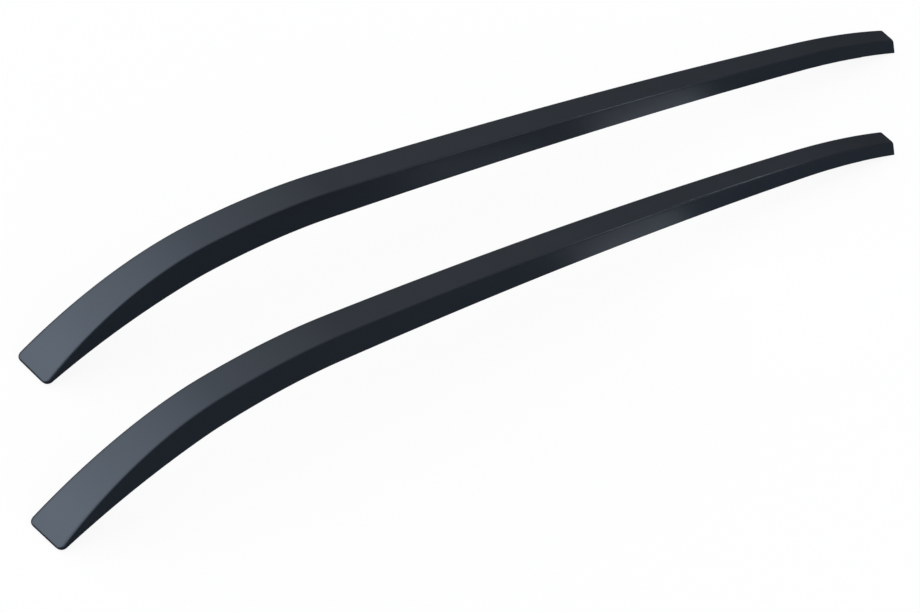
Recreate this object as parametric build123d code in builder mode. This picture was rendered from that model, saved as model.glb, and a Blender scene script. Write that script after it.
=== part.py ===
"""Pair of roof side rails for a car, laid side by side.

Each rail is a bent aluminium channel with a thin front foot. A rubber gasket lies under it, a plug
closes its rear end, and a row of studs with anchor plates and seal rings holds it to the roof.
Sizes are in millimetres and degrees. The fronts of the rails point along -X.
"""
import os
from dataclasses import dataclass
from math import cos, pi, radians, sin, tan

from build123d import *

os.makedirs("parts", exist_ok=True)

# Top line of a rail seen from the side, with its tip at the front and its rear end on the floor
rail_length = 1750.0
tip_angle = 57.5
foot_radius = 330.0
shoulder_angle = 10.0
shoulder_radius = 1000.0
crown_angle = -3.0
tail_radius = 1925.0
rear_angle = -15.0
rear_rake = 30.0

# Outside of the section: widths lie across the top face, depths are square to the top line
front_width = 39.0
rear_width = 24.0
tip_flare = 14.0
front_depth = 44.5
rear_depth = 18.8
tip_depth = 5.0
foot_reach = 250.0
side_draft = 15.8
edge_round = 4.0
thin_edge_share = 0.7
tip_corner_radius = 8.0
plan_bow = 3.5

# Inside of the section: a channel with a slot between two lips, behind a solid foot
wall = 2.6
lip = 2.6
slot_width = 9.0
solid_foot = 70.0

# Plug in the rear end, with the thickness of its cap along the rail
cap_thickness = 3.0
cap_round = 1.2
plug_length = 20.0
plug_clearance = 0.3

# Gasket under the rail
gasket_thickness = 2.0
gasket_inset = 2.0
gasket_front = 90.0
gasket_setback = 90.0
seat_gap = 0.3

# Fixings: an anchor plate in the channel, a headed stud through it and a seal ring on the stud's collar
fixing_count = 5
first_fixing = 280.0
last_fixing_setback = 330.0
plate_length = 34.0
plate_thickness = 3.0
plate_clearance = 0.6
stud_radius = 3.0
stud_reach = 24.0
stud_point = 1.0
collar_radius = 3.6
collar_clearance = 0.25
head_radius = 6.5
head_height = 3.0
ring_radius = 9.0
ring_thickness = 4.0

# How the pair lies: the left rail is beside the right one, ahead of it and turned a little
rail_spacing = 220.0
rail_stagger = 189.0
rail_toe = 2.14

# Sections that shape the rail: they lie closer at both ends, where the spacing is this share of the mean
section_count = 40
end_spacing = 0.3
least_spacing = 15.0


def upward(angle: float) -> Vector:
    """Direction square to the top line, away from the roof, where the line climbs at an angle."""
    return Vector(-sin(radians(angle)), cos(radians(angle)))


def flat(point: Vector) -> tuple[float, float]:
    """Coordinates of a point in the side view."""
    return point.X, point.Y


# Foot, shoulder and tail are given arcs, and the crown arc joins shoulder and tail without a kink
tip_point = Vector(0, tip_depth * cos(radians(tip_angle)))
spine_end = Vector(rail_length - cap_thickness, rear_depth / cos(radians(rear_angle)))
foot_centre = tip_point - upward(tip_angle) * foot_radius
shoulder_start = foot_centre + upward(shoulder_angle) * foot_radius
shoulder_centre = shoulder_start - upward(shoulder_angle) * shoulder_radius
crown_start = shoulder_centre + upward(crown_angle) * shoulder_radius
tail_centre = spine_end - upward(rear_angle) * tail_radius
span = crown_start - tail_centre
crown_radius = (span.dot(span) - tail_radius**2) / (2 * (span.dot(upward(crown_angle)) - tail_radius))
crown_centre = crown_start - upward(crown_angle) * crown_radius
tail_start = tail_centre + (tail_centre - crown_centre).normalized() * tail_radius

with BuildLine(Plane.XZ) as top_line:
    RadiusArc(flat(tip_point), flat(shoulder_start), foot_radius)
    RadiusArc(flat(shoulder_start), flat(crown_start), shoulder_radius)
    RadiusArc(flat(crown_start), flat(tail_start), crown_radius)
    RadiusArc(flat(tail_start), flat(spine_end), tail_radius)

spine = top_line.wire()
spine_length = spine.length
# The line goes on straight behind the rail, so that its end can be cut to the rake
blank_length = spine_length + cap_thickness + rear_depth
draft_run = tan(radians(side_draft))
side_wall = wall / cos(radians(side_draft))


@dataclass
class Rail:
    """One rail of the pair: its name, the side its plan bows to, and its floor plane, tip at the origin."""

    name: str
    bow_side: int
    floor: Plane


# The box round the pair is centred on the origin, with the ends of both rails on the floor
centre_x = (rail_length - rail_stagger) / 2
centre_y = -rail_spacing / 2
toe_direction = Vector(cos(radians(rail_toe)), sin(radians(rail_toe)), 0)
rails = [
    Rail("right", -1, Plane((-centre_x, -centre_y, 0))),
    Rail("left", 1, Plane((-centre_x - rail_stagger, -centre_y - rail_spacing, 0), x_dir=toe_direction)),
]


def foot_fade(s: float) -> float:
    """Share of the foot's own shape that is left at a distance along the top line."""
    return max(0.0, 1 - s / foot_reach) ** 2


def top_width(s: float) -> float:
    """Width across the top face, without its rounded edges."""
    along = s / spine_length
    return front_width + (rear_width - front_width) * along + tip_flare * foot_fade(s)


def depth(s: float) -> float:
    """Depth of the section, square to the top line."""
    along = s / spine_length
    return front_depth + (rear_depth - front_depth) * along - (front_depth - tip_depth) * foot_fade(s)


def width_at(s: float, drop: float) -> float:
    """Outside width at a drop below the top face."""
    return top_width(s) + 2 * drop * draft_run


def channel_width(s: float, drop: float) -> float:
    """Clear width of the channel at a drop below the top face."""
    return width_at(s, drop) - 2 * side_wall


def section_plane(rail: Rail, s: float) -> Plane:
    """Plane of the section, square to the top line: X across the rail, Y up."""
    place = min(s / spine_length, 1.0)
    tangent = spine % place
    point = spine @ place + tangent * max(0.0, s - spine_length)
    along = point.X / rail_length
    bow = 4 * plan_bow * along * (1 - along)
    origin = rail.floor.from_local_coords((point.X, rail.bow_side * bow, point.Z))
    normal = rail.floor.x_dir * tangent.X + rail.floor.z_dir * tangent.Z
    return Plane(origin, x_dir=rail.floor.y_dir, z_dir=normal)


def seat_plane(rail: Rail, s: float, drop: float) -> Plane:
    """Plane that faces up at a drop below the top face, with X along the rail."""
    section = section_plane(rail, s)
    return Plane(section.origin - section.y_dir * drop, x_dir=section.z_dir, z_dir=section.y_dir)


def stations(start: float, end: float) -> list[float]:
    """Distances along the top line from a start to an end, by way of the shared sections between them."""
    shares = [i / section_count for i in range(section_count + 1)]
    shared = [blank_length * (u - (1 - end_spacing) * sin(2 * pi * u) / (2 * pi)) for u in shares]
    return [start, *(s for s in shared if start + least_spacing < s < end - least_spacing), end]


def rake_plane(rail: Rail, x: float) -> Plane:
    """Plane across a rail that leans forward from a distance behind the tip on the floor, facing the rear."""
    normal = rail.floor.x_dir * cos(radians(rear_rake)) + rail.floor.z_dir * sin(radians(rear_rake))
    return Plane(rail.floor.from_local_coords((x, 0, 0)), x_dir=rail.floor.y_dir, z_dir=normal)


def outer_section(rail: Rail, s: float) -> Sketch:
    """Outside of the rail: flat top with rounded edges and flared sides."""
    with BuildSketch(section_plane(rail, s)) as section:
        Trapezoid(width_at(s, depth(s)), depth(s), 90 - side_draft, align=(Align.CENTER, Align.MAX))
        fillet(vertices().group_by(Axis.Y)[-1], min(edge_round, thin_edge_share * depth(s)))
    return section.sketch


def channel_section(rail: Rail, s: float, clearance: float) -> Sketch:
    """Inside of the channel, or what slides into it with a clearance all round."""
    top = wall + clearance
    bottom = depth(s) - lip - clearance
    width = channel_width(s, bottom) - 2 * clearance
    with BuildSketch(section_plane(rail, s)) as section:
        with Locations((0, -top)):
            Trapezoid(width, bottom - top, 90 - side_draft, align=(Align.CENTER, Align.MAX))
    return section.sketch


def slot_section(rail: Rail, s: float) -> Sketch:
    """Slot between the lips, from inside the channel to below the rail."""
    with BuildSketch(section_plane(rail, s)) as section:
        with Locations((0, -depth(s))):
            Rectangle(slot_width, 4 * lip)
    return section.sketch


def gasket_section(rail: Rail, s: float) -> Sketch:
    """Strip of gasket below the rail."""
    with BuildSketch(section_plane(rail, s)) as section:
        with Locations((0, -depth(s) - seat_gap)):
            width = width_at(s, depth(s)) - 2 * gasket_inset
            Rectangle(width, gasket_thickness, align=(Align.CENTER, Align.MAX))
    return section.sketch


fixings = [
    first_fixing + (spine_length - last_fixing_setback - first_fixing) * i / (fixing_count - 1)
    for i in range(fixing_count)
]
# The plates are alike, so the narrowest place in the channel gives their width
plate_drop = lip + seat_gap + plate_thickness
plate_width = min(channel_width(s, depth(s) - plate_drop) for s in fixings) - 2 * plate_clearance


def save(part: Part, label: str) -> None:
    """Name a finished piece and write it."""
    part.label = label
    export_step(part, f"parts/{label}.step")


for rail in rails:
    rear_cut = rake_plane(rail, rail_length - cap_thickness)
    rear_face = rake_plane(rail, rail_length)

    # Solid outside of the rail, longer than the rail itself: the foot with rounded plan corners, then the rest
    with BuildPart() as blank:
        loft([outer_section(rail, s) for s in stations(0, solid_foot)])
        corner_y = width_at(0, tip_depth) / 2
        with BuildSketch(seat_plane(rail, 0, 0)):
            for side in (-1, 1):
                with Locations((0, side * corner_y)):
                    Rectangle(2 * tip_corner_radius, 2 * tip_corner_radius)
                with Locations((tip_corner_radius, side * (corner_y - tip_corner_radius))):
                    Circle(tip_corner_radius, mode=Mode.SUBTRACT)
        extrude(amount=2 * tip_depth, both=True, mode=Mode.SUBTRACT)
        hollow = stations(solid_foot, blank_length)
        loft([outer_section(rail, s) for s in hollow])

    # Rail body: the blank cut at the rear, less the channel and the slot that opens it below
    with BuildPart() as body:
        add(blank.part)
        split(bisect_by=rear_cut, keep=Keep.BOTTOM)
        loft([channel_section(rail, s, 0) for s in hollow], mode=Mode.SUBTRACT)
        loft([slot_section(rail, s) for s in hollow], mode=Mode.SUBTRACT)
    save(body.part, f"{rail.name}_rail_body")

    # Gasket: a strip that covers the underside and seals the slot
    with BuildPart() as gasket:
        loft([gasket_section(rail, s) for s in stations(gasket_front, spine_length - gasket_setback)])
        for s in fixings:
            with BuildSketch(seat_plane(rail, s, depth(s))):
                Circle(collar_radius + collar_clearance)
            extrude(amount=gasket_thickness + lip, both=True, mode=Mode.SUBTRACT)
    save(gasket.part, f"{rail.name}_base_gasket")

    # Rear plug: a cap that ends the rail flush and level below, and a boss that slides into the channel
    with BuildPart() as plug:
        add(blank.part)
        split(bisect_by=rear_cut, keep=Keep.TOP)
        loft([channel_section(rail, s, plug_clearance) for s in (spine_length - plug_length, blank_length)])
        split(bisect_by=rear_face, keep=Keep.BOTTOM)
        split(bisect_by=rail.floor, keep=Keep.TOP)
        fillet(faces().sort_by(Axis(rear_face.origin, rear_face.z_dir))[-1].edges(), cap_round)
    save(plug.part, f"{rail.name}_rear_plug")

    # Fixings from front to rear
    for number, s in enumerate(fixings, start=1):
        lip_drop = depth(s) - lip - seat_gap
        head_drop = lip_drop - plate_thickness
        ring_drop = depth(s) + 2 * seat_gap + gasket_thickness
        collar_drop = ring_drop + ring_thickness + seat_gap

        with BuildPart() as plate:
            with BuildSketch(seat_plane(rail, s, lip_drop)):
                RectangleRounded(plate_length, plate_width, plate_thickness)
                Circle(collar_radius + collar_clearance, mode=Mode.SUBTRACT)
            extrude(amount=plate_thickness)
        save(plate.part, f"{rail.name}_anchor_plate_{number}")

        with BuildPart() as stud:
            with BuildSketch(seat_plane(rail, s, head_drop)):
                Circle(head_radius)
            extrude(amount=head_height)
            with BuildSketch(seat_plane(rail, s, head_drop)):
                Circle(collar_radius)
            extrude(amount=head_drop - collar_drop)
            with BuildSketch(seat_plane(rail, s, collar_drop)):
                Circle(stud_radius)
            extrude(amount=collar_drop - depth(s) - stud_reach)
            stud_axis = Axis(stud.part.center(), seat_plane(rail, s, 0).z_dir)
            chamfer(edges().sort_by(stud_axis)[0], stud_point)
        save(stud.part, f"{rail.name}_stud_{number}")

        with BuildPart() as ring:
            with BuildSketch(seat_plane(rail, s, ring_drop)):
                Circle(ring_radius)
                Circle(collar_radius + collar_clearance, mode=Mode.SUBTRACT)
            extrude(amount=-ring_thickness)
        save(ring.part, f"{rail.name}_seal_ring_{number}")
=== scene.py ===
"""Pair of satin black roof side rails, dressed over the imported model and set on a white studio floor.

Lengths are in metres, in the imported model's own frame: the thin front feet point along -X, +Z is up.
"""
from __future__ import annotations

import logging
import math
from dataclasses import dataclass, field
from enum import Enum
from typing import Any, Callable, Iterable, Union

import bmesh
import bpy
from mathutils import Matrix, Vector

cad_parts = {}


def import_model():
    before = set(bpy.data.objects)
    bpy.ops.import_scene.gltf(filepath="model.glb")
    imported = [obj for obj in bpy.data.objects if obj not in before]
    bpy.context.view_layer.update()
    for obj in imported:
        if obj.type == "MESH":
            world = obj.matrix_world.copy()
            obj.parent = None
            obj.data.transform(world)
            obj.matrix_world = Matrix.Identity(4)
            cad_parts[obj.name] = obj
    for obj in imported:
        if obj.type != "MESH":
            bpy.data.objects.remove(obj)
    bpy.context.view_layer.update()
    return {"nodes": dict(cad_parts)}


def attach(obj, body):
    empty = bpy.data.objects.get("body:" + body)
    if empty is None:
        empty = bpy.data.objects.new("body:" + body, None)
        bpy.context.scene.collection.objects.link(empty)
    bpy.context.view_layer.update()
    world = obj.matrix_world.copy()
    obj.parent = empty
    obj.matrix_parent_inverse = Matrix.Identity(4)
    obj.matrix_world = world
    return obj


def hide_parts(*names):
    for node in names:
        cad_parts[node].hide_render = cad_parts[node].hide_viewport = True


LOG = logging.getLogger("roof_rails")
MERGE_DISTANCE = 1e-6
CUT_DISTANCE = 1e-7
SHARP_ANGLE = math.radians(35)
SENSOR_WIDTH = 36.0
PHOTO_WIDTH = 920
WHITE = (1.0, 1.0, 1.0)
Triple = tuple[float, float, float]
Profile = list[tuple[float, float]]


class Slot(Enum):
    """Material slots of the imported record."""

    RAIL = "rail_coat"
    GASKET = "gasket_rubber"
    PLUG = "plug_plastic"
    PLATE = "plate_steel"
    STUD = "stud_steel"


class Side(Enum):
    """The two rails of the pair, with the way each one bows in plan."""

    RIGHT = -1
    LEFT = 1


# Shader helpers


@dataclass
class Signal:
    """A shader socket that takes part in plain sums.

    Attributes:
        graph: the node graph that the socket belongs to.
        socket: the output socket.
    """

    graph: "Graph"
    socket: bpy.types.NodeSocket

    def _maths(self, operation: str, first: Any, second: Any) -> "Signal":
        """Add one Math node.

        Args:
            operation: the Math node's operation.
            first: number or signal of the first input.
            second: number or signal of the second input.

        Returns:
            The node's result.
        """
        return self.graph.add("ShaderNodeMath", {"operation": operation}, {0: first, 1: second})

    def __add__(self, other: "Value") -> "Signal":
        """Sum."""
        return self._maths("ADD", self, other)

    def __radd__(self, other: "Value") -> "Signal":
        """Sum with a number first."""
        return self._maths("ADD", other, self)

    def __sub__(self, other: "Value") -> "Signal":
        """Difference."""
        return self._maths("SUBTRACT", self, other)

    def __rsub__(self, other: "Value") -> "Signal":
        """Difference from a number."""
        return self._maths("SUBTRACT", other, self)

    def __mul__(self, other: "Value") -> "Signal":
        """Product."""
        return self._maths("MULTIPLY", self, other)

    def __rmul__(self, other: "Value") -> "Signal":
        """Product with a number first."""
        return self._maths("MULTIPLY", other, self)


Value = Union[float, Signal]


class Graph:
    """Node graph of one material or of the world."""

    def __init__(self, tree: bpy.types.NodeTree) -> None:
        """Empty the tree.

        Args:
            tree: the node tree to fill.
        """
        self.tree = tree
        tree.nodes.clear()

    def add(self, kind: str, settings: dict[str, Any], inputs: dict[Any, Any], output: Any = 0) -> Signal:
        """Make any node.

        Args:
            kind: the node's type.
            settings: its own settings, set first.
            inputs: value or signal of each socket, by name or number.
            output: name or number of the output that is returned.

        Returns:
            The chosen output.
        """
        node = self.tree.nodes.new(kind)
        for name, value in settings.items():
            setattr(node, name, value)
        for name, value in inputs.items():
            if isinstance(value, Signal):
                self.tree.links.new(value.socket, node.inputs[name])
            else:
                node.inputs[name].default_value = value
        return Signal(self, node.outputs[output] if len(node.outputs) else node.inputs[0])

    def noise(self, scale: float, detail: float) -> Signal:
        """Noise over the surface, from 0 to 1.

        Args:
            scale: waves per metre.
            detail: number of finer layers.

        Returns:
            The noise value.
        """
        place = self.add("ShaderNodeTexCoord", {}, {}, "Object")
        return self.add("ShaderNodeTexNoise", {}, {"Vector": place, "Scale": scale, "Detail": detail}, "Fac")

    def blend(self, share: Signal, first: Triple, second: Triple) -> Signal:
        """Mix two colours.

        Args:
            share: share of the second colour.
            first: first colour.
            second: second colour.

        Returns:
            The mixed colour.
        """
        colours = {0: share, 6: (*first, 1.0), 7: (*second, 1.0)}
        return self.add("ShaderNodeMix", {"data_type": "RGBA"}, colours, 2)


# Finishes


@dataclass(frozen=True)
class Finish:
    """A procedural surface finish.

    Attributes:
        name: material name.
        dark: darker of its two colours.
        light: lighter of its two colours.
        roughness: mean roughness.
        roughness_spread: how far the roughness wanders.
        metallic: 1 for bare metal.
        specular: reflectance level at the surface.
        tint: colour of its reflections.
        grain_scale: waves per metre of the fine grain.
        grain_height: depth of the grain in metres.
        mottle_scale: waves per metre of the slow colour change.
    """

    name: str
    dark: Triple
    light: Triple
    roughness: float
    roughness_spread: float
    metallic: float
    specular: float
    tint: Triple
    grain_scale: float
    grain_height: float
    mottle_scale: float

    def build(self) -> bpy.types.Material:
        """Make the material.

        Returns:
            The finished material.
        """
        material = bpy.data.materials.new(self.name)
        material.use_nodes = True
        graph = Graph(material.node_tree)
        mottle = graph.noise(self.mottle_scale, 3.0)
        grain = graph.noise(self.grain_scale, 2.0)
        slow, fine = ((noise - 0.5) * self.roughness_spread for noise in (mottle, grain))
        roughness = slow + fine + self.roughness
        bump = graph.add(
            "ShaderNodeBump", {}, {"Height": grain, "Distance": self.grain_height, "Strength": 1.0}, "Normal"
        )
        surface = graph.add(
            "ShaderNodeBsdfPrincipled",
            {},
            {
                "Base Color": graph.blend(mottle, self.dark, self.light),
                "Roughness": roughness,
                "Metallic": self.metallic,
                "Specular IOR Level": self.specular,
                "Specular Tint": (*self.tint, 1.0),
                "Normal": bump,
            },
            "BSDF",
        )
        graph.add("ShaderNodeOutputMaterial", {}, {"Surface": surface})
        return material


POWDER_COAT = Finish(
    name="satin_black_coat",
    dark=(0.0038, 0.0048, 0.0070),
    light=(0.0052, 0.0064, 0.0090),
    roughness=0.36,
    roughness_spread=0.06,
    metallic=0.0,
    specular=1.0,
    tint=(0.74, 0.84, 1.0),
    grain_scale=900.0,
    grain_height=0.000012,
    mottle_scale=14.0,
)
MOULDED_PLUG = Finish(
    name="moulded_black_plug",
    dark=(0.0040, 0.0050, 0.0070),
    light=(0.0055, 0.0066, 0.0090),
    roughness=0.42,
    roughness_spread=0.08,
    metallic=0.0,
    specular=0.9,
    tint=(0.78, 0.87, 1.0),
    grain_scale=1400.0,
    grain_height=0.000015,
    mottle_scale=30.0,
)
SEAL_RUBBER = Finish(
    name="seal_rubber",
    dark=(0.012, 0.012, 0.013),
    light=(0.022, 0.022, 0.023),
    roughness=0.72,
    roughness_spread=0.12,
    metallic=0.0,
    specular=0.3,
    tint=WHITE,
    grain_scale=700.0,
    grain_height=0.00003,
    mottle_scale=25.0,
)
ZINC_PLATE = Finish(
    name="zinc_plated_steel",
    dark=(0.42, 0.43, 0.44),
    light=(0.58, 0.58, 0.57),
    roughness=0.34,
    roughness_spread=0.14,
    metallic=1.0,
    specular=0.5,
    tint=WHITE,
    grain_scale=1100.0,
    grain_height=0.00001,
    mottle_scale=120.0,
)


# The rails


@dataclass(frozen=True)
class Arc:
    """One arc of a rail's top line, seen from the side.

    Attributes:
        start: distance along the line where the arc begins.
        angle: slope at its start, in radians.
        radius: its radius.
        centre: its centre, along and above the floor.
    """

    start: float
    angle: float
    radius: float
    centre: Vector

    def slope(self, s: float) -> float:
        """Slope of the line at a distance along it."""
        return self.angle - (s - self.start) / self.radius

    def point(self, s: float) -> Vector:
        """Point of the line at a distance along it."""
        return self.centre + self.radius * away(self.slope(s))


def ray(angle: float) -> Vector:
    """Direction at an angle in a flat view."""
    return Vector((math.cos(angle), math.sin(angle)))


def away(angle: float) -> Vector:
    """Direction square to the top line, away from the roof, where the line climbs at an angle."""
    return Vector((-math.sin(angle), math.cos(angle)))


@dataclass
class RailForm:
    """Outside form of one rail.

    Attributes:
        length: from the tip to the rear face.
        cap: thickness of the rear plug's cap, along the rail.
        tip_angle: slope of the top line at the tip, in degrees, as the other angles are.
        foot_radius: radius of the top line's first arc.
        shoulder_angle: slope where the shoulder begins.
        shoulder_radius: radius of the shoulder.
        crown_angle: slope where the crown begins.
        tail_radius: radius of the last arc.
        rear_angle: slope at the rear end.
        rake: how far the rear face leans forward.
        front_width: width of the top face at the front, without the tip's flare.
        rear_width: width of the top face at the rear.
        tip_flare: what the tip is wider.
        front_depth: depth of the section at the front, without the foot's thinning.
        rear_depth: depth of the section at the rear.
        tip_depth: depth of the section at the tip.
        foot_reach: length over which the foot thins and flares.
        draft: lean of the sides.
        edge_round: rounding of the top edges.
        lower_round: rounding of the lower edges.
        thin_edge_share: largest share of the depth that the top edges' rounding takes.
        thin_lower_share: largest share of it that the lower edges' rounding takes.
        upper_steps: steps across a top edge.
        lower_steps: steps across a lower edge.
        corner: plan rounding of the tip.
        tip_round: rounding of the tip's end.
        bow: how far the middle of the rail bows in plan.
        wall: thickness of the top and the sides.
        lip: thickness of the lips beside the slot.
        slot: width of the slot below.
        boss_clearance: gap round what slides into the channel.
        solid_foot: length of the foot that has no channel.
        arcs: the arcs of the top line.
        line_length: length of the top line.
    """

    length: float = 1.750
    cap: float = 0.003
    tip_angle: float = 57.5
    foot_radius: float = 0.330
    shoulder_angle: float = 10.0
    shoulder_radius: float = 1.000
    crown_angle: float = -3.0
    tail_radius: float = 1.925
    rear_angle: float = -15.0
    rake: float = 30.0
    front_width: float = 0.039
    rear_width: float = 0.024
    tip_flare: float = 0.014
    front_depth: float = 0.0445
    rear_depth: float = 0.0188
    tip_depth: float = 0.005
    foot_reach: float = 0.250
    draft: float = 15.8
    edge_round: float = 0.004
    lower_round: float = 0.00025
    thin_edge_share: float = 0.7
    thin_lower_share: float = 0.2
    upper_steps: int = 10
    lower_steps: int = 4
    corner: float = 0.008
    tip_round: float = 0.0025
    bow: float = 0.0035
    wall: float = 0.0026
    lip: float = 0.0026
    slot: float = 0.009
    boss_clearance: float = 0.0003
    solid_foot: float = 0.070
    arcs: list[Arc] = field(init=False, default_factory=list)
    line_length: float = field(init=False, default=0.0)

    def __post_init__(self) -> None:
        """Work out the arcs of the top line: the crown joins shoulder and tail without a kink."""
        tip, shoulder, crown, rear = (
            math.radians(a) for a in (self.tip_angle, self.shoulder_angle, self.crown_angle, self.rear_angle)
        )
        tip_point = Vector((0.0, self.tip_depth * math.cos(tip)))
        end = Vector((self.length - self.cap, self.rear_depth / math.cos(rear)))
        foot_centre = tip_point - away(tip) * self.foot_radius
        shoulder_centre = foot_centre + away(shoulder) * (self.foot_radius - self.shoulder_radius)
        crown_start = shoulder_centre + away(crown) * self.shoulder_radius
        tail_centre = end - away(rear) * self.tail_radius
        span = crown_start - tail_centre
        gain = span.dot(away(crown)) - self.tail_radius
        crown_radius = (span.dot(span) - self.tail_radius**2) / (2 * gain)
        crown_centre = crown_start - away(crown) * crown_radius
        join = (tail_centre - crown_centre).normalized()
        tail = math.atan2(-join.x, join.y)
        reach = 0.0
        for angle, after, radius, centre in (
            (tip, shoulder, self.foot_radius, foot_centre),
            (shoulder, crown, self.shoulder_radius, shoulder_centre),
            (crown, tail, crown_radius, crown_centre),
            (tail, rear, self.tail_radius, tail_centre),
        ):
            self.arcs.append(Arc(reach, angle, radius, centre))
            reach += (angle - after) * radius
        self.line_length = reach

    def line(self, s: float) -> tuple[Vector, float]:
        """Point and slope of the top line; behind its end the line goes on straight.

        Args:
            s: distance along the line.

        Returns:
            The point in the side view, and the slope in radians.
        """
        inside = min(s, self.line_length)
        arc = [a for a in self.arcs if a.start <= inside][-1]
        slope = arc.slope(inside)
        beyond = ray(slope) * (s - inside)
        return arc.point(inside) + beyond, slope

    def foot_fade(self, s: float) -> float:
        """Share of the foot's own shape that is left at a distance along the line."""
        return max(0.0, 1 - s / self.foot_reach) ** 2

    def top_width(self, s: float) -> float:
        """Width across the top face, without its rounded edges."""
        along = s / self.line_length
        flare = self.tip_flare * self.foot_fade(s)
        return self.front_width + (self.rear_width - self.front_width) * along + flare

    def depth(self, s: float) -> float:
        """Depth of the section, square to the line."""
        along = s / self.line_length
        fade = (self.front_depth - self.tip_depth) * self.foot_fade(s)
        return self.front_depth + (self.rear_depth - self.front_depth) * along - fade

    def tip_share(self, s: float) -> float:
        """Share of the width that the rounded plan corners leave at a distance along the line."""
        inside = max(0.0, self.corner - s)
        half = self.top_width(s) / 2 + self.depth(s) * math.tan(math.radians(self.draft))
        return 1 - (self.corner - math.sqrt(self.corner**2 - inside**2)) / half

    def tip_drop(self, s: float) -> float:
        """Drop of the top face where the tip's end is rounded."""
        inside = max(0.0, self.tip_round - s)
        return self.tip_round - math.sqrt(self.tip_round**2 - inside**2)

    def outside(self, s: float) -> Profile:
        """Outline of the section from one edge of the slot, round the top, to the other.

        Args:
            s: distance along the line.

        Returns:
            Points across and above the top line.
        """
        lean = math.radians(self.draft)
        depth = self.depth(s)
        half_top = self.top_width(s) / 2
        half_low = half_top + depth * math.tan(lean)
        radius = min(self.edge_round, self.thin_edge_share * depth)
        low = min(self.lower_round, self.thin_lower_share * depth)
        turn = math.pi / 2 - lean
        top_centre = Vector((half_top - radius * math.tan(turn / 2), -radius))
        low_centre = Vector((half_low - low / math.tan(turn / 2), -depth + low))
        lower_turn = (math.pi - turn) / self.lower_steps
        lower = [low_centre + low * ray(-math.pi / 2 + lower_turn * i) for i in range(self.lower_steps + 1)]
        upper_turn = turn / self.upper_steps
        upper = [top_centre + radius * ray(lean + upper_turn * i) for i in range(self.upper_steps + 1)]
        half = [Vector((self.slot / 2, -depth)), Vector((self.slot, -depth)), *lower]
        half.extend(lower[-1].lerp(upper[0], share) for share in (0.06, 0.35, 0.65, 0.94))
        half.extend(upper)
        half.extend(Vector((top_centre.x * share, 0.0)) for share in (0.94, 0.5, 0.0))
        share = self.tip_share(s)
        drop = self.tip_drop(s)
        right = [(p.x * share, p.y * (1 - drop / depth) - drop) for p in half]
        return right + [(-x, y) for x, y in reversed(right[:-1])]

    def channel_half(self, s: float, drop: float) -> float:
        """Half of the channel's width at a drop below the top face."""
        lean = math.radians(self.draft)
        return self.top_width(s) / 2 + drop * math.tan(lean) - self.wall / math.cos(lean)

    def inside(self, s: float) -> Profile:
        """Outline of the slot and the channel, on from where the outside ends.

        Args:
            s: distance along the line.

        Returns:
            Points across and above the top line.
        """
        floor = self.depth(s) - self.lip
        right = [(self.channel_half(s, drop), -drop) for drop in (self.wall, floor)]
        right.append((self.slot / 2, -floor))
        return [(-x, y) for x, y in reversed(right)] + right

    def boss(self, s: float) -> Profile:
        """Outline of what slides into the channel, with a point for each one of the outside.

        Args:
            s: distance along the line.

        Returns:
            Points across and above the top line.
        """
        top, floor = self.wall + self.boss_clearance, self.depth(s) - self.lip - self.boss_clearance
        points = []
        for across, above in self.outside(s):
            drop = min(max(-above, top), floor)
            half = self.channel_half(s, drop) - self.boss_clearance
            points.append((min(max(across, -half), half), -drop))
        return points


def lay_grid(mesh: bmesh.types.BMesh, rows: list[list[Vector]]) -> None:
    """Lay a grid over rows of points.

    Args:
        mesh: the bmesh that the grid joins.
        rows: the points, with as many in each row.
    """
    across, along = len(rows[0]) - 1, len(rows) - 1
    grid = bmesh.ops.create_grid(mesh, x_segments=across, y_segments=along, size=1.0)
    for vert in grid["verts"]:
        column, row = (round((c + 1) / 2 * n) for c, n in zip(vert.co.xy, (across, along)))
        vert.co = rows[row][column]


def close_skin(mesh: bmesh.types.BMesh) -> None:
    """Merge what meets, fill the open rims and turn all faces outwards.

    Args:
        mesh: the bmesh.
    """
    bmesh.ops.remove_doubles(mesh, verts=mesh.verts, dist=MERGE_DISTANCE)
    bmesh.ops.holes_fill(mesh, edges=[e for e in mesh.edges if e.is_boundary], sides=0)
    bmesh.ops.recalc_face_normals(mesh, faces=mesh.faces)
    if mesh.calc_volume(signed=True) < 0:
        bmesh.ops.reverse_faces(mesh, faces=mesh.faces)


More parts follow.
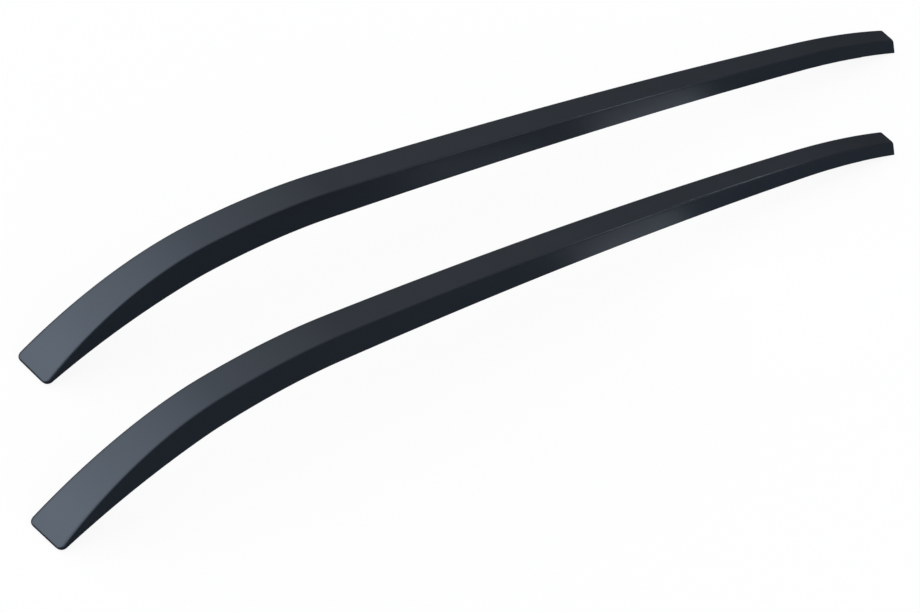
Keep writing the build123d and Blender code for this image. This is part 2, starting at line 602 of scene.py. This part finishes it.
@dataclass(frozen=True)
class Stud:
    """A headed stud with a rolled thread. Its origin is on the rail's underside, with Z along it, upwards.

    Attributes:
        head: lower end, upper end and radius of the head.
        head_bevel: size of the bevel round the head's top.
        collar: lower end and radius of the collar.
        end: lower end of the stud.
        core: radius at the roots of the thread.
        ridge: height of the thread.
        pitch: rise of the thread in one turn.
        point: length of the tapered lead-in at the lower end, and the radius it ends with.
        columns: steps round the stud.
        flank_rows: shape of the thread over one pitch, as shares of its height.
    """

    head: tuple[float, float, float] = (0.0059, 0.0089, 0.0065)
    head_bevel: float = 0.0006
    collar: tuple[float, float] = (-0.0069, 0.0036)
    end: float = -0.0239
    core: float = 0.00245
    ridge: float = 0.00052
    pitch: float = 0.001
    point: tuple[float, float] = (0.0022, 0.0011)
    columns: int = 24
    flank_rows: tuple[float, ...] = (0.0, 0.0, 1.0, 1.0)

    def build(self, mesh: bmesh.types.BMesh) -> None:
        """Make the stud.

        Args:
            mesh: empty bmesh that takes the stud.
        """
        seat, top, head = self.head
        below, collar = self.collar
        upper = [(0.0, top), (head - self.head_bevel, top), (head, top - self.head_bevel), (head, seat)]
        upper += [(collar, seat), (collar, below), (self.core, below)]
        lead_in, tip = self.point
        thread_end = self.end + lead_in
        lower = [(self.core, thread_end), (tip, self.end), (0.0, self.end)]
        for outline in (upper, lower):
            lay_grid(mesh, [[self._point(turn, *place) for turn in self._turns] for place in outline])
        count = len(self.flank_rows)
        span = (thread_end, below)
        # The rows start a turn early, so that the thread's lowest turn is whole
        rows = range(-count, math.ceil((below - thread_end) / self.pitch) * count + 1)
        lay_grid(mesh, [[self._point(t, *self._thread(row, t, *span)) for t in self._turns] for row in rows])
        bmesh.ops.remove_doubles(mesh, verts=mesh.verts, dist=MERGE_DISTANCE)
        bmesh.ops.dissolve_degenerate(mesh, dist=CUT_DISTANCE, edges=mesh.edges)
        bmesh.ops.recalc_face_normals(mesh, faces=mesh.faces)

    @property
    def _turns(self) -> list[float]:
        """Places round the stud, from 0 to 1."""
        return [i / self.columns for i in range(self.columns + 1)]

    @staticmethod
    def _point(turn: float, radius: float, height: float) -> Vector:
        """The point at a place round the stud, a radius and a height."""
        angle = 2 * math.pi * turn
        return Vector((radius * math.cos(angle), radius * math.sin(angle), height))

    def _thread(self, row: int, turn: float, low: float, high: float) -> tuple[float, float]:
        """Radius and height of a point of the thread, which runs out at both ends.

        Args:
            row: number of the row, counted along the thread's rise.
            turn: place round the stud, from 0 to 1.
            low: lower end of the thread.
            high: its upper end.

        Returns:
            The radius and the height.
        """
        count = len(self.flank_rows)
        height = min(max(low + self.pitch * (row / count + turn), low), high)
        fade = min(1.0, (height - low) / self.pitch, (high - height) / self.pitch)
        return self.core + self.ridge * self.flank_rows[row % count] * fade, height


@dataclass
class Rail:
    """One rail of the pair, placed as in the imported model.

    Attributes:
        side: which rail it is.
        tip: place of its tip on the floor.
        toe: how far it is turned in plan, in degrees.
        form: its outside form.
        station_step: spacing of the sections along the line.
        corner_steps: sections on the tip's rounded corners.
        section_tries: steps that find a point of a raked section.
        plug_length: how far the rear plug goes into the channel.
        plug_gap: gap between the rear plug's cap and the body.
        plug_edge: size of the round edge of its rear face, square to the face and along it.
        plug_edge_steps: faces across that edge.
        stud: the stud that is repeated along it.
        fixings: number of studs, first distance along the line and last one's setback from its end.
    """

    side: Side
    tip: Vector
    toe: float
    form: RailForm = field(default_factory=RailForm)
    station_step: float = 0.006
    corner_steps: int = 10
    section_tries: int = 8
    plug_length: float = 0.020
    plug_gap: float = 0.0001
    plug_edge: tuple[float, float] = (0.0025, 0.0045)
    plug_edge_steps: int = 6
    stud: Stud = Stud()
    fixings: tuple[int, float, float] = (5, 0.280, 0.330)

    @property
    def name(self) -> str:
        """Name of the rail in lower case."""
        return self.side.name.lower()

    @property
    def reach(self) -> float:
        """Length along the line that goes far enough behind the rear end to be cut."""
        return self.form.line_length + self.form.cap + self.form.rear_depth

    @property
    def placing(self) -> Matrix:
        """Turn and shift from the rail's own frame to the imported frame."""
        return Matrix.Translation(self.tip) @ Matrix.Rotation(math.radians(self.toe), 4, "Z")

    def stations(self, start: float, end: float) -> list[float]:
        """Distances of the sections: close together on the tip's rounded corners, then even.

        Args:
            start: first distance along the line.
            end: last distance.

        Returns:
            Distances along the line.
        """
        turn = math.pi / 2 / self.corner_steps
        near = [self.form.corner * (1 - math.cos(turn * i)) for i in range(self.corner_steps)]
        even = max(start, self.form.corner)
        count = round((end - even) / self.station_step)
        return [s for s in near if s >= start] + [even + (end - even) * i / count for i in range(count + 1)]

    def surface_point(self, s: float, across: float, above: float) -> Vector:
        """Place of a section's point in the rail's own frame.

        Args:
            s: distance along the line.
            across: distance to the left of the line.
            above: height above the top face, square to the line.

        Returns:
            The point.
        """
        point, slope = self.form.line(s)
        up = away(slope)
        along = point.x / self.form.length
        bow = 4 * self.form.bow * along * (1 - along) * self.side.value
        return Vector((point.x + above * up.x, bow + across, point.y + above * up.y))

    def section(self, s: float, profile: Profile) -> list[Vector]:
        """Place a closed outline at a distance along the line, with its first point again at the end."""
        return [self.placing @ self.surface_point(s, *place) for place in [*profile, profile[0]]]

    def raked_section(
        self, profile: Callable[[float], Profile], x: float, inset: float = 0.0
    ) -> list[Vector]:
        """Place an outline on a plane that leans with the rear face, cut off level at the floor.

        Args:
            profile: gives the outline at a distance along the line.
            x: distance behind the tip where the plane meets the floor.
            inset: how far the outline is drawn in.

        Returns:
            The points, with the first one again at the end.
        """
        form = self.form
        lean = math.tan(math.radians(form.rake))
        places = []
        for column in range(len(profile(form.line_length))):
            s = form.line_length
            for _ in range(self.section_tries):
                point = self.surface_point(s, *profile(s)[column])
                s += x - point.x - lean * point.z
            places.append((point.y, max(point.z, 0.0)))
        spans = [(min(side), max(side)) for side in zip(*places)]
        middle = [(low + high) / 2 for low, high in spans]
        share = [1 - 2 * inset / (high - low) for low, high in spans]
        drawn_in = [[m + (c - m) * f for c, m, f in zip(place, middle, share)] for place in places]
        return [self.placing @ Vector((x - lean * z, y, z)) for y, z in [*drawn_in, drawn_in[0]]]

    def build_body(self) -> bpy.types.Object:
        """Make the rail's body: a solid foot and a channel that is open below, cut off along the rear plane.

        Returns:
            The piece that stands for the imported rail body.
        """
        form = self.form
        mesh = bmesh.new()
        foot = self.stations(0.0, form.solid_foot)
        lay_grid(mesh, [self.section(s, form.outside(s)) for s in foot])
        rest = self.stations(form.solid_foot, self.reach)
        lay_grid(mesh, [self.section(s, form.outside(s) + form.inside(s)) for s in rest])
        close_skin(mesh)
        rake = math.radians(form.rake)
        bmesh.ops.bisect_plane(
            mesh,
            geom=[*mesh.verts, *mesh.edges, *mesh.faces],
            dist=CUT_DISTANCE,
            plane_co=self.placing @ Vector((form.length - form.cap, 0.0, 0.0)),
            plane_no=self.placing.to_3x3() @ Vector((math.cos(rake), 0.0, math.sin(rake))),
            clear_outer=True,
        )
        close_skin(mesh)
        return finish_piece(mesh, f"{self.name}_rail_skin", f"{self.name}_rail_body")

    def build_plug(self) -> bpy.types.Object:
        """Make the rear plug: a boss in the channel and a cap with a round edge.

        Returns:
            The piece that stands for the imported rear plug.
        """
        form, (edge, inset) = self.form, self.plug_edge
        boss_end = form.line_length - self.plug_length
        front = form.length - form.cap + self.plug_gap
        rows = [self.section(boss_end, form.boss(boss_end)), self.raked_section(form.boss, front)]
        rows.append(self.raked_section(form.outside, front))
        depth = edge / math.cos(math.radians(form.rake))
        for i in range(self.plug_edge_steps + 1):
            turn = math.pi / 2 * i / self.plug_edge_steps
            x = form.length - depth * (1 - math.sin(turn))
            rows.append(self.raked_section(form.outside, x, inset * (1 - math.cos(turn))))
        mesh = bmesh.new()
        lay_grid(mesh, rows)
        close_skin(mesh)
        return finish_piece(mesh, f"{self.name}_plug_cap", f"{self.name}_rear_plug")

    def build_studs(self) -> list[bpy.types.Object]:
        """Make the studs below the rail.

        Returns:
            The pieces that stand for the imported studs, from front to rear.
        """
        count, first, setback = self.fixings
        studs = []
        for i in range(count):
            s = first + (self.form.line_length - setback - first) * i / (count - 1)
            seat = Matrix.Translation(self.surface_point(s, 0.0, -self.form.depth(s)))
            lean = Matrix.Rotation(-self.form.line(s)[1], 4, "Y")
            mesh = bmesh.new()
            self.stud.build(mesh)
            bmesh.ops.transform(mesh, matrix=self.placing @ seat @ lean, verts=mesh.verts)
            name, node = (f"{self.name}_{kind}_{i + 1}" for kind in ("threaded_stud", "stud"))
            studs.append(finish_piece(mesh, name, node))
        return studs

    def build(self, materials: dict[Slot, bpy.types.Material]) -> list[bpy.types.Object]:
        """Make the rail's own pieces and dress them.

        Args:
            materials: finish of each slot.

        Returns:
            The pieces.
        """
        made = {Slot.RAIL: [self.build_body()], Slot.PLUG: [self.build_plug()], Slot.STUD: self.build_studs()}
        for slot, pieces in made.items():
            for piece in pieces:
                piece.data.materials.append(materials[slot])
        return [piece for pieces in made.values() for piece in pieces]


def finish_piece(mesh: bmesh.types.BMesh, name: str, node: str) -> bpy.types.Object:
    """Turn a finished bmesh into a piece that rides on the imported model.

    Args:
        mesh: the bmesh, which is freed.
        name: name of the piece.
        node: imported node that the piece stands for.

    Returns:
        The piece.
    """
    for face in mesh.faces:
        face.smooth = True
    for edge in mesh.edges:
        if len(edge.link_faces) == 2:
            edge.smooth = edge.calc_face_angle(0.0) < SHARP_ANGLE
    data = bpy.data.meshes.new(name)
    mesh.to_mesh(data)
    mesh.free()
    piece = bpy.data.objects.new(name, data)
    bpy.context.scene.collection.objects.link(piece)
    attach(piece, "root")
    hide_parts(node)
    return piece


# The studio


@dataclass
class Camera:
    """Camera at the photograph's angle.

    Attributes:
        place: where it stands.
        yaw: turn of its view from +X towards +Y, in degrees.
        pitch: how far it looks down, in degrees.
        roll: tilt of the picture, in degrees.
        lens: focal length in millimetres.
        nudge: shift of the picture, as a share of its width.
    """

    place: Vector
    yaw: float
    pitch: float
    roll: float
    lens: float
    nudge: tuple[float, float]

    def build(self) -> bpy.types.Object:
        """Make the camera and use it.

        Returns:
            The camera object.
        """
        yaw, pitch, roll = (math.radians(a) for a in (self.yaw, self.pitch, self.roll))
        ahead = Vector((math.cos(yaw) * math.cos(pitch), math.sin(yaw) * math.cos(pitch), -math.sin(pitch)))
        level = Vector((math.sin(yaw), -math.cos(yaw), 0.0))
        rise = level.cross(ahead)
        local_x = math.cos(roll) * level + math.sin(roll) * rise
        local_y = math.cos(roll) * rise - math.sin(roll) * level
        data = bpy.data.cameras.new("camera")
        data.lens = self.lens
        data.sensor_width = SENSOR_WIDTH
        data.sensor_fit = "HORIZONTAL"
        data.shift_x, data.shift_y = self.nudge
        data.clip_end = 60.0
        camera = bpy.data.objects.new("camera", data)
        turn = Matrix((local_x, local_y, -ahead)).transposed().to_4x4()
        camera.matrix_world = Matrix.Translation(self.place) @ turn
        bpy.context.scene.collection.objects.link(camera)
        bpy.context.scene.camera = camera
        return camera


@dataclass(frozen=True)
class Softbox:
    """A rectangular area lamp that the camera doesn't see.

    Attributes:
        name: its name.
        towards: direction in which it stands, seen from its target.
        target: point that it lights.
        distance: distance from the target.
        size: length of its sides.
        power: its power in watts.
        colour: its colour.
    """

    name: str
    towards: Triple
    target: Triple
    distance: float
    size: tuple[float, float]
    power: float
    colour: Triple

    def build(self) -> bpy.types.Object:
        """Make the lamp.

        Returns:
            The lamp object.
        """
        data = bpy.data.lights.new(self.name, "AREA")
        data.shape = "RECTANGLE"
        data.size, data.size_y = self.size
        data.energy = self.power
        data.color = self.colour
        lamp = bpy.data.objects.new(self.name, data)
        lamp.visible_camera = False
        way = Vector(self.towards).normalized()
        place = Vector(self.target) + way * self.distance
        lamp.matrix_world = Matrix.Translation(place) @ way.to_track_quat("Z", "Y").to_matrix().to_4x4()
        bpy.context.scene.collection.objects.link(lamp)
        return lamp


@dataclass
class Studio:
    """White floor, soft light that fades from the front of the rails to the rear, and lamps.

    Attributes:
        lamps: the lamps.
        floor_size: half width of the floor.
        floor_drop: how far the floor lies below the rails.
        floor_matt: colour of the floor under the lamps.
        floor_white: share of plain white that the camera sees on the floor.
        floor_mirrored: colour of the floor in reflections.
        bright_side: direction from which most light comes.
        dim_level: brightness of the dim side.
        gain: how fast the light grows towards the bright side.
        reach: how far the light goes round to the dim side.
        tint: colour of the light.
    """

    lamps: tuple[Softbox, ...]
    floor_size: float = 60.0
    floor_drop: float = 0.0005
    floor_matt: Triple = (0.82, 0.82, 0.82)
    floor_white: float = 0.90
    floor_mirrored: Triple = (0.070, 0.086, 0.112)
    bright_side: Triple = (-0.80, 0.0, 0.60)
    dim_level: float = 0.07
    gain: float = 1.25
    reach: float = 0.48
    tint: Triple = (0.93, 0.97, 1.0)

    def build(self) -> None:
        """Make the floor, the light from all round and the lamps."""
        self._floor()
        self._world()
        for lamp in self.lamps:
            lamp.build()

    def _floor(self) -> None:
        """Make the floor: white with the rails' shadow, dim in reflections and clear from below."""
        mesh = bmesh.new()
        bmesh.ops.create_grid(mesh, x_segments=1, y_segments=1, size=self.floor_size)
        data = bpy.data.meshes.new("floor")
        mesh.to_mesh(data)
        mesh.free()
        floor = bpy.data.objects.new("floor", data)
        floor.location.z = -self.floor_drop
        bpy.context.scene.collection.objects.link(floor)
        material = bpy.data.materials.new("white_floor")
        material.use_nodes = True
        graph = Graph(material.node_tree)
        camera = graph.add("ShaderNodeLightPath", {}, {}, "Is Camera Ray")
        glossy = graph.add("ShaderNodeLightPath", {}, {}, "Is Glossy Ray")
        through = graph.add("ShaderNodeLightPath", {}, {}, "Is Transmission Ray")
        mirrored = glossy + through
        matt = graph.add("ShaderNodeBsdfDiffuse", {}, {"Color": (*self.floor_matt, 1.0)})
        colour = graph.blend(camera, self.floor_mirrored, WHITE)
        plain = graph.add("ShaderNodeEmission", {}, {"Color": colour, "Strength": 1.0})
        share = camera * self.floor_white + mirrored
        top = graph.add("ShaderNodeMixShader", {}, {0: share, 1: matt, 2: plain})
        below = graph.add("ShaderNodeNewGeometry", {}, {}, "Backfacing")
        clear = graph.add("ShaderNodeBsdfTransparent", {}, {})
        surface = graph.add("ShaderNodeMixShader", {}, {0: below, 1: top, 2: clear})
        graph.add("ShaderNodeOutputMaterial", {}, {"Surface": surface})
        data.materials.append(material)

    def _world(self) -> None:
        """Make the light from all round."""
        world = bpy.data.worlds.new("studio")
        world.use_nodes = True
        bpy.context.scene.world = world
        graph = Graph(world.node_tree)
        way = graph.add("ShaderNodeTexCoord", {}, {}, "Generated")
        product = {"operation": "DOT_PRODUCT"}
        facing = graph.add("ShaderNodeVectorMath", product, {0: way, 1: self.bright_side}, "Value")
        rise = graph.add("ShaderNodeMath", {"operation": "MAXIMUM"}, {0: facing + self.reach, 1: 0.0})
        strength = rise * self.gain + self.dim_level
        light = graph.add("ShaderNodeBackground", {}, {"Color": (*self.tint, 1.0), "Strength": strength})
        graph.add("ShaderNodeOutputWorld", {}, {"Surface": light})


CAMERA = Camera(
    place=Vector((-5.77577, -2.83303, 4.39532)),
    yaw=26.3778,
    pitch=34.8583,
    roll=27.2121,
    lens=240.591,
    nudge=(-0.5 / PHOTO_WIDTH, 0.5 / PHOTO_WIDTH),
)
COOL = (0.92, 0.96, 1.0)
# Ways to the strips that light the sides from below, and to those that light the top edges
LOW = (0.0, -0.90, -0.436)
EDGE = (0.0, -0.92, 0.39)
LAMPS = (
    Softbox("front_softbox", (-0.82, 0.37, 0.43), (-0.75, 0.0, 0.05), 3.2, (2.4, 1.8), 6.0, COOL),
    Softbox("right_strip", LOW, (0.490, 0.087, 0.076), 0.11, (0.24, 0.03), 0.019, COOL),
    Softbox("left_strip", LOW, (0.262, -0.086, 0.076), 0.11, (0.24, 0.03), 0.019, COOL),
    Softbox("right_edge_strip", EDGE, (0.57, 0.094, 0.122), 0.20, (0.16, 0.03), 0.09, COOL),
    Softbox("left_edge_strip", EDGE, (0.385, -0.079, 0.122), 0.20, (0.16, 0.03), 0.09, COOL),
)
RAILS = (
    Rail(Side.RIGHT, Vector((-0.7805, 0.110, 0.0)), 0.0),
    Rail(Side.LEFT, Vector((-0.9695, -0.110, 0.0)), 2.14),
)


def dress(nodes: dict[str, bpy.types.Object], materials: dict[Slot, bpy.types.Material]) -> None:
    """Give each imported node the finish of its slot.

    Args:
        nodes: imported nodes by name.
        materials: finish of each slot.
    """
    words = {
        "gasket": Slot.GASKET,
        "ring": Slot.GASKET,
        "plug": Slot.PLUG,
        "plate": Slot.PLATE,
        "stud": Slot.STUD,
    }
    for name, node in nodes.items():
        slot = next((s for word, s in words.items() if word in name), Slot.RAIL)
        node.data.materials.clear()
        node.data.materials.append(materials[slot])


def main() -> None:
    """Build the scene."""
    logging.basicConfig(level=logging.INFO, format="%(message)s")
    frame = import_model()
    bpy.context.scene.view_settings.view_transform = "Standard"
    rubber, zinc = SEAL_RUBBER.build(), ZINC_PLATE.build()
    materials = {
        Slot.RAIL: POWDER_COAT.build(),
        Slot.GASKET: rubber,
        Slot.PLUG: MOULDED_PLUG.build(),
        Slot.PLATE: zinc,
        Slot.STUD: zinc,
    }
    dress(frame["nodes"], materials)
    for rail in RAILS:
        for piece in rail.build(materials):
            LOG.info("made %s with %d faces", piece.name, len(piece.data.polygons))
    Studio(LAMPS).build()
    CAMERA.build()


if __name__ == "__main__":
    main()
